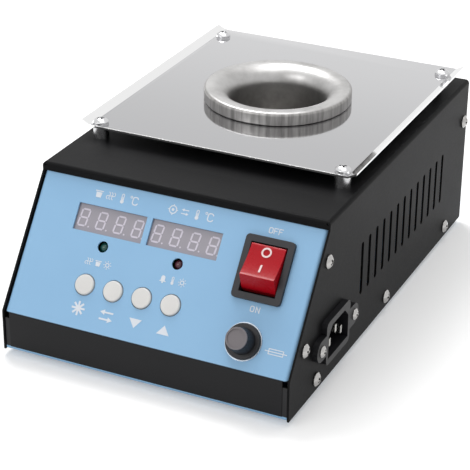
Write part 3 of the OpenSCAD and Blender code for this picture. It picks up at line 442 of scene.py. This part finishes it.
def plated(name, color, roughness):
    """Plated metal: a faint crystal bloom over a satin metal."""
    metal = Finish(name, metallic=1.0)
    bloom = metal.noise(0.004, detail=4.0, roughness=0.6)
    fine = metal.noise(0.0007, detail=2.0)
    metal.set("Base Color", metal.mix(bloom, color, tuple(c * 0.82 for c in color)))
    metal.set("Roughness", roughness + 0.15 * bloom)
    metal.bump(fine, 0.00001, 0.3)
    return metal


def recessed(metal):
    """Darkens the cross recess of a head with painted shade."""
    recess = metal.node("ShaderNodeAttribute", {"attribute_name": "recess"}, out="Fac")
    recess_painted_shade = metal.mix(recess.step(0.05, 0.6), metal.color(), (0.035, 0.035, 0.035))
    metal.set("Base Color", recess_painted_shade)
    return metal


screw_nickel = recessed(plated("screw_nickel", (0.50, 0.49, 0.48), 0.18))
cover_low, cover_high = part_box("cover")
side_x, front_y, lower_z = cover_high.x, cover_low.y, cover_low.z
# Millimetres back from the cover's front edge and up from its lower edge, and the recess's turn
along_floor = [(30.8, 6.5, 20), (121.3, 6.5, 65), (211.7, 6.5, 35)]
along_slope = [(16.1, 29.5, 50), (41.3, 63.6, 10)]
at_back = [(234.0, 60.7, 75)]
fasteners(
    "cover_screw_heads",
    [
        ((side * side_x, front_y + y * mm, lower_z + z * mm), (side, 0.0, 0.0), turn + 15 * side)
        for side in (-1, 1)
        for y, z, turn in along_floor + along_slope + at_back
    ],
    7.0 * mm,
    screw_nickel,
    "cover_screws",
)

# ---------------------------------------------------------------- front strip
# The strip is a self-adhesive black film with a fine satin grain, stuck on the band.

strip_black = Finish("strip_black", specular_ior_level=0.2)
film_grain = strip_black.noise(0.0005, detail=2.0)
strip_black.set(
    "Base Color", strip_black.mix(film_grain, (0.006, 0.006, 0.007), (0.010, 0.010, 0.011))
)
strip_black.set("Roughness", 0.38 + 0.15 * film_grain)
strip_black.bump(film_grain, 0.00002, 0.4)
strip_black.cover("front_strip")

# ---------------------------------------------------------------- heat shield
# The heat shield is one polished stainless sheet with its two side edges bent up. It stands on
# four spacers, and keeps drops and heat off the painted cover.


def polished(name, color, roughness, along="x"):
    """Polished steel: near-mirror, with hair scratches along one direction and soft clouds."""
    steel = Finish(name, metallic=1.0)
    reach = {axis: 0.05 if axis == along else 0.0006 for axis in "xyz"}
    hair = steel.noise(1.0, detail=2.0, where=steel.stretched(**reach))
    clouds = steel.noise(0.04, detail=3.0)
    steel.set("Base Color", steel.mix(clouds, color, tuple(c * 0.95 for c in color)))
    steel.set("Roughness", roughness + 0.05 * hair + 0.05 * clouds)
    steel.bump(hair, 0.000004, 0.3)
    return steel


shield_steel = polished("shield_steel", (0.55, 0.55, 0.56), 0.02)
plate_low, plate_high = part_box("heat_shield")
# Painted reflection: the flat of the sheet is painted darker at the front and paler at the back
to_back = shield_steel.part("Y")
drift = (to_back - plate_low.y) / (plate_high.y - plate_low.y)
flat_steel_painted_gradient = shield_steel.mix(drift.step(-0.1, 1.1), (0.47, 0.47, 0.48), (0.60, 0.60, 0.61))
# Painted highlight: the bent edges and the sheared front edge are painted paler than the flat
bend_x = plate_high.x - 0.0047
on_lip = abs(shield_steel.part("X")).step(bend_x - 0.0002, bend_x + 0.0003)
on_front_edge = 1.0 - to_back.step(plate_low.y + 0.0006, plate_low.y + 0.0010)
painted_edge_highlight = on_lip.most(on_front_edge)
shield_steel.set("Base Color", shield_steel.mix(painted_edge_highlight, flat_steel_painted_gradient, (0.84, 0.84, 0.84)))
softened("heat_shield", 0.00025, shield_steel, 20.0)

# ---------------------------------------------------------------- spacers and their screws
# Each corner of the shield stands on a turned and polished steel spacer, held by a cross-recess
# screw with a thin washer from above and a nut under the cover.

post_steel = recessed(polished("post_steel", (0.62, 0.62, 0.63), 0.20, "z"))
post_steel.cover("spacers", "shield_washers")
washers_low, washers_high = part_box("shield_washers")
washer_r = 4.0 * mm
post_x, washer_top = washers_high.x - washer_r, washers_high.z
post_low, post_high = washers_low.y + washer_r, washers_high.y - washer_r
fasteners(
    "shield_screw_heads",
    [
        ((x * post_x, y, washer_top), (0.0, 0.0, 1.0), turn)
        for x, y, turn in (
            (-1, post_low, 40), (1, post_low, 25), (-1, post_high, 5), (1, post_high, 55)
        )
    ],
    7.8 * mm,
    post_steel,
    "shield_screws",
)

# ---------------------------------------------------------------- crucible
# The crucible is turned from steel: a thick rim with a rounded edge that rests on the shield, a
# wide rounded mouth and a deep bore. Turning leaves fine rings, and heat has dulled it unevenly.

pot_low, pot_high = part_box("crucible")
pot_x, pot_y = (pot_low.x + pot_high.x) / 2, (pot_low.y + pot_high.y) / 2
pot_top = pot_high.z

pot_steel = Finish("pot_steel", metallic=1.0)
across = pot_steel.part("X") - pot_x
along = pot_steel.part("Y") - pot_y
radius = (across * across + along * along).root()
height = pot_steel.part("Z")


def turning_marks(finish, across_marks, along_marks, detail, start):
    """Noise on two numbers alone, which is drawn out into rings or bars on a turned piece."""
    where = finish.node("ShaderNodeCombineXYZ", {}, {0: across_marks, 1: along_marks, 2: start})
    return finish.noise(1.0, detail=detail, where=where)


rings = turning_marks(pot_steel, radius * 1600.0, height * 1600.0, 3.0, 0.0)
wide_rings = turning_marks(pot_steel, radius * 300.0, height * 300.0, 2.0, 3.0)
stains = pot_steel.noise(0.012, detail=5.0, roughness=0.6)
bore, mouth, rim = 25.0 * mm, 34.3 * mm, 38.5 * mm
# Painted shade: the metal is painted darker down the bore, from 3 mm to 26 mm below the top
depth = (pot_top - height).step(0.003, 0.026)
unshaded_metal = pot_steel.mix(stains.step(0.35, 0.75), (0.48, 0.475, 0.47), (0.35, 0.345, 0.34))
painted_bore_shade = pot_steel.mix(stains.step(0.40, 0.70), (0.40, 0.39, 0.38), (0.28, 0.27, 0.26))
metal_with_bore_shade = pot_steel.mix(depth, unshaded_metal, painted_bore_shade)
# Painted reflections: upright dark and pale streaks on the rim's edge
bearing = pot_steel.node("ShaderNodeMath", {"operation": "ARCTAN2"}, {0: along, 1: across})
marks = turning_marks(pot_steel, bearing * 16.0, height * 40.0, 3.0, 1.0)
edge_painted_reflections = pot_steel.mix(marks.step(0.25, 0.75), (0.20, 0.195, 0.19), (0.42, 0.41, 0.40))
on_edge = radius.step(rim - 1.2 * mm, rim - 0.3 * mm)
pot_steel.set("Base Color", pot_steel.mix(on_edge, metal_with_bore_shade, edge_painted_reflections))
pot_steel.set("Roughness", 0.24 + 0.12 * rings + 0.16 * stains)
pot_steel.bump(rings, 0.00003, 0.35)
pot_steel.bump(wide_rings, 0.00006, 0.35)

wall, mouth_r = 28.0 * mm, 9.3 * mm
foot_round, edge_round, floor_round, corner = 1.2 * mm, 1.8 * mm, 6.0 * mm, 0.6 * mm
seat_z = pot_top - 7.0 * mm
floor_z = pot_top - 45.0 * mm
foot_z = floor_z - 3.0 * mm
profile = (
    [(0.0, foot_z), (wall - corner, foot_z), (wall, foot_z + corner), (wall, seat_z)]
    + arc(rim - foot_round, seat_z + foot_round, foot_round, -90, 0, 6)
    + arc(rim - edge_round, pot_top - edge_round, edge_round, 0, 90, 8)
    + arc(mouth, pot_top - mouth_r, mouth_r, 90, 180, 20)
    + arc(bore - floor_round, floor_z + floor_round, floor_round, 0, -90, 8)
    + [(bore * 0.5, floor_z), (0.0, floor_z)]
)
pot_mesh = turned(profile, 192)
pot_mesh.transform(Matrix.Translation((pot_x, pot_y, 0.0)))
pot_mesh.materials.append(pot_steel.material)
pot = bpy.data.objects.new("crucible_turned", pot_mesh)
bpy.context.scene.collection.objects.link(pot)
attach(pot, "case")
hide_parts("crucible")

# ---------------------------------------------------------------- plain metal inside and below
# Zinc-plated and bare steel pieces: nuts, bracket, can and small screws, all left as plated.

plated("zinc_plate", (0.62, 0.62, 0.60), 0.28).cover(
    "foot_screws", "shield_nuts", "bracket_screws", "heater_clamp_screw", "board_screws",
    "board_pillars", "inlet_nuts", "pot_can", "pot_bracket",
)
plated("fuse_ring", (0.30, 0.33, 0.37), 0.25).cover("fuse_washer")
plated("heater_steel", (0.36, 0.33, 0.30), 0.40).cover("heater_band", "thermocouple")
plated("brass_plate", (0.72, 0.55, 0.27), 0.25).cover("board_standoffs", "switch_tabs", "fuse_tabs")
plated("pin_nickel", (0.66, 0.65, 0.62), 0.18).cover("inlet_pins")
plated("fin_metal", (0.60, 0.61, 0.63), 0.35).cover("heat_sink")

# ---------------------------------------------------------------- insulation and leads
# Ceramic-fibre wool fills the can, and the heater's leads have woven glass sleeves.

wool = Finish("ceramic_wool", roughness=0.95)
fibres = wool.noise(1.0, detail=4.0, where=wool.stretched(0.004, 0.004, 0.0008))
wool.set("Base Color", wool.mix(fibres, (0.70, 0.68, 0.62), (0.86, 0.84, 0.79)))
wool.bump(fibres, 0.0004, 0.8)
wool.cover("insulation")

sleeve = Finish("glass_sleeve", roughness=0.8)
strands = 6000.0
lengthwise = (sleeve.part("Z") * strands).sine()
crosswise = (sleeve.part("X") * strands + sleeve.part("Y") * strands).sine()
weave = lengthwise * crosswise
sleeve.set("Base Color", sleeve.mix(weave.step(-0.6, 0.6), (0.62, 0.58, 0.48), (0.78, 0.75, 0.66)))
sleeve.bump(weave, 0.0001, 0.6)
sleeve.cover("mains_wires")

# ---------------------------------------------------------------- boards and what stands on them
# Two glass-epoxy boards with green solder mask carry the display and the heater's supply.


def moulded(name, color, roughness, grain=0.0008, depth=0.00002, **looks):
    """Moulded plastic: one colour with a fine spark-eroded grain and slight flow marks."""
    plastic = Finish(name, **looks)
    spark = plastic.noise(grain, detail=2.0)
    flow = plastic.noise(0.015, detail=2.0)
    plastic.set("Base Color", plastic.mix(flow, color, tuple(c * 0.88 for c in color)))
    plastic.set("Roughness", roughness + 0.10 * spark + 0.05 * flow)
    plastic.bump(spark, depth, 0.5)
    return plastic


moulded("solder_mask", (0.020, 0.125, 0.045), 0.28, 0.002).cover("control_board", "power_board")
moulded("core_varnish", (0.055, 0.045, 0.038), 0.35).cover("transformer")
moulded("relay_case", (0.015, 0.060, 0.220), 0.30).cover("relay")
moulded("terminal_green", (0.030, 0.200, 0.070), 0.35).cover("terminal_block")
moulded("foot_rubber", (0.012, 0.012, 0.012), 0.75, 0.0004, 0.00005).cover("feet")
moulded("tact_black", (0.015, 0.015, 0.016), 0.45).cover("tact_switches")

# ---------------------------------------------------------------- displays
# Two four-digit modules: a smooth grey-mauve face behind each window, and pale segments in it,
# which are unlit.

display_face = Finish("display_face", specular_ior_level=0.5)
face_cloud = display_face.noise(0.006, detail=2.0)
display_face.set(
    "Base Color", display_face.mix(face_cloud, (0.265, 0.248, 0.285), (0.295, 0.276, 0.312))
)
display_face.set("Roughness", 0.30 + 0.10 * face_cloud)
display_face.cover("display_left", "display_right")

segment_white = Finish("segment_white", specular_ior_level=0.5)
segment_cloud = segment_white.noise(0.001, detail=2.0)
segment_white.set(
    "Base Color", segment_white.mix(segment_cloud, (0.54, 0.50, 0.58), (0.62, 0.58, 0.66))
)
segment_white.set("Roughness", 0.35 + 0.1 * segment_cloud)
segment_white.cover("digits_left", "digits_right")

# ---------------------------------------------------------------- signal lamps
# Two 5 mm lamps with tinted epoxy lenses, standing on the board behind their holes.


def lens(name, color):
    """Tinted epoxy: glossy, with faint swirls in its depth."""
    epoxy = Finish(name, specular_ior_level=0.6)
    swirl = epoxy.noise(0.002, detail=2.0)
    epoxy.set("Base Color", epoxy.mix(swirl, color, tuple(c * 1.6 for c in color)))
    epoxy.set("Roughness", 0.10 + 0.08 * swirl)
    return epoxy


lens("green_lens", (0.004, 0.050, 0.040)).cover("lamp_green")
lens("red_lens", (0.060, 0.010, 0.016)).cover("lamp_red")

# ---------------------------------------------------------------- buttons
# Four caps moulded in off-white plastic, each on a small switch of the display board.

button_white = moulded("button_white", (0.72, 0.71, 0.69), 0.38, 0.0006, 0.00001)
for button in ("button_set", "button_shift", "button_down", "button_up_key"):
    softened(button, 0.0007, button_white)

# ---------------------------------------------------------------- mains switch
# A snap-in rocker switch: black glass-filled frame and body, a glossy red rocker with a dished
# face, and its ring and bar printed on.

frame_black = moulded(
    "frame_black", (0.022, 0.022, 0.026), 0.36, 0.0005, 0.00003, specular_ior_level=0.3
)
softened("switch_housing", 0.0004, frame_black)
rocker_red = moulded(
    "rocker_red", (0.400, 0.003, 0.010), 0.20, 0.004, 0.00001, specular_ior_level=0.25
)
softened("rocker", 0.0005, rocker_red)
moulded("mark_white", (0.82, 0.66, 0.66), 0.40).cover("rocker_marks")

# ---------------------------------------------------------------- fuse holder
# A panel fuse holder: moulded black flange and ribbed cap, with a glass fuse in it.

holder_black = moulded(
    "holder_black", (0.010, 0.010, 0.012), 0.34, 0.0005, 0.00003, specular_ior_level=0.3
)
holder_black.cover("fuse_nut")
softened("fuse_holder", 0.0003, holder_black)
cap_black = moulded(
    "cap_black", (0.010, 0.010, 0.012), 0.36, 0.0005, 0.00003, specular_ior_level=0.3
)
panel_slope = math.radians(53.5)
lift, draw = math.cos(panel_slope), math.sin(panel_slope)
out_of_panel = cap_black.part("Z") * lift - cap_black.part("Y") * draw
cap_end = max(c.co.z * lift - c.co.y * draw for c in nodes["fuse_cap"].data.vertices)
# Painted sheen: the smooth end of the cap is painted paler than its ribbed side
end_sheen_mask = out_of_panel.step(cap_end - 0.9 * mm, cap_end - 0.6 * mm)
cap_black.set("Base Color", cap_black.mix(end_sheen_mask, cap_black.color(), (0.165, 0.150, 0.158)))
softened("fuse_cap", 0.0002, cap_black)
moulded("fuse_glass", (0.60, 0.62, 0.62), 0.10).cover("fuse_link")

# ---------------------------------------------------------------- mains inlet
# A flanged inlet moulded in black thermoplastic, with three nickel-plated pins.

inlet_black = moulded(
    "inlet_black", (0.010, 0.010, 0.012), 0.32, 0.0005, 0.00003, specular_ior_level=0.3
)
softened("inlet", 0.0004, inlet_black)
inlet_low, inlet_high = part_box("inlet")
inlet_y, inlet_z = (inlet_low.y + inlet_high.y) / 2, 25.4 * mm
fasteners(
    "inlet_screw_heads",
    [
        ((inlet_high.x, inlet_y + end * 20.0 * mm, inlet_z), (1.0, 0.0, 0.0), 30 + 40 * end)
        for end in (-1, 1)
    ],
    5.8 * mm,
    screw_nickel,
    "inlet_screws",
)

bpy.data.objects.remove(head_piece)

# ---------------------------------------------------------------- printing
# White screen-printed signs on the panel.

ink = Finish("white_ink", specular_ior_level=0.4)
ink_cloud = ink.noise(0.0006, detail=3.0)
ink.set("Base Color", ink.mix(ink_cloud, (0.66, 0.70, 0.76), (0.74, 0.77, 0.82)))
ink.set("Roughness", 0.5 + 0.1 * ink_cloud)
ink.cover("panel_print")

# ---------------------------------------------------------------- bench and light
# A pale floor under the object, a softbox at the back left, one at the front left and one above,
# and the camera.

floor_half = 3.0
floor_turns = ((-1, -1), (1, -1), (1, 1), (-1, 1))
floor_mesh = bpy.data.meshes.new("bench")
floor_mesh.from_pydata(
    [(x * floor_half, y * floor_half, 0) for x, y in floor_turns], [], [(0, 1, 2, 3)]
)
floor = bpy.data.objects.new("bench", floor_mesh)
bpy.context.scene.collection.objects.link(floor)
bench_white = Finish(
    "bench_white", base_color=(0.80, 0.80, 0.80), roughness=0.9, specular_ior_level=0.1
)
bench_white.set(
    "Emission Color", bench_white.mix(bench_white.in_view(), (0.0, 0.0, 0.0), (0.28, 0.28, 0.28))
)
bench_white.set("Emission Strength", 1.0)
floor_mesh.materials.append(bench_white.material)

world = bpy.data.worlds.new("studio")
bpy.context.scene.world = world
world.use_nodes = True
sky = Nodes(world.node_tree)
sky_glow = sky.node("ShaderNodeBackground", {}, {"Color": (1.0, 1.0, 1.0), "Strength": 0.55})
sky_white = sky.node("ShaderNodeBackground", {}, {"Color": (1.0, 1.0, 1.0), "Strength": 1.0})
sky_all = sky.node("ShaderNodeMixShader", {}, {0: sky.in_view(), 1: sky_glow, 2: sky_white})
sky.join(world.node_tree.nodes["World Output"].inputs["Surface"], sky_all)


def softbox(name, place, width, height, power):
    """An area lamp that faces the middle of the object."""
    middle = Vector((0.0, 0.0, 0.05))
    lamp = bpy.data.lights.new(name, "AREA")
    lamp.shape = "RECTANGLE"
    lamp.size, lamp.size_y = width, height
    lamp.energy = power
    box = bpy.data.objects.new(name, lamp)
    box.location = place
    box.rotation_euler = (middle - Vector(place)).to_track_quat("-Z", "Y").to_euler()
    bpy.context.scene.collection.objects.link(box)


softbox("key_box", (-0.45, 0.40, 1.1), 0.5, 0.5, 8.0)
softbox("front_box", (-0.5, -1.2, 1.0), 0.9, 0.6, 4.5)
softbox("top_box", (0.1, 0.1, 1.4), 0.9, 0.9, 5.0)

camera_data = bpy.data.cameras.new("camera")
camera_data.sensor_width = 36.0
camera_data.lens = 132.39
camera = bpy.data.objects.new("camera", camera_data)
camera.matrix_world = (
    Matrix.Translation((0.33597, -0.73236, 0.43139))
    @ Matrix.Rotation(math.radians(25.129), 4, "Z")
    @ Matrix.Rotation(math.radians(63.441), 4, "X")
    @ Matrix.Rotation(math.radians(0.585), 4, "Z")
)
bpy.context.scene.collection.objects.link(camera)
bpy.context.scene.camera = camera
bpy.context.scene.view_settings.view_transform = "Standard"
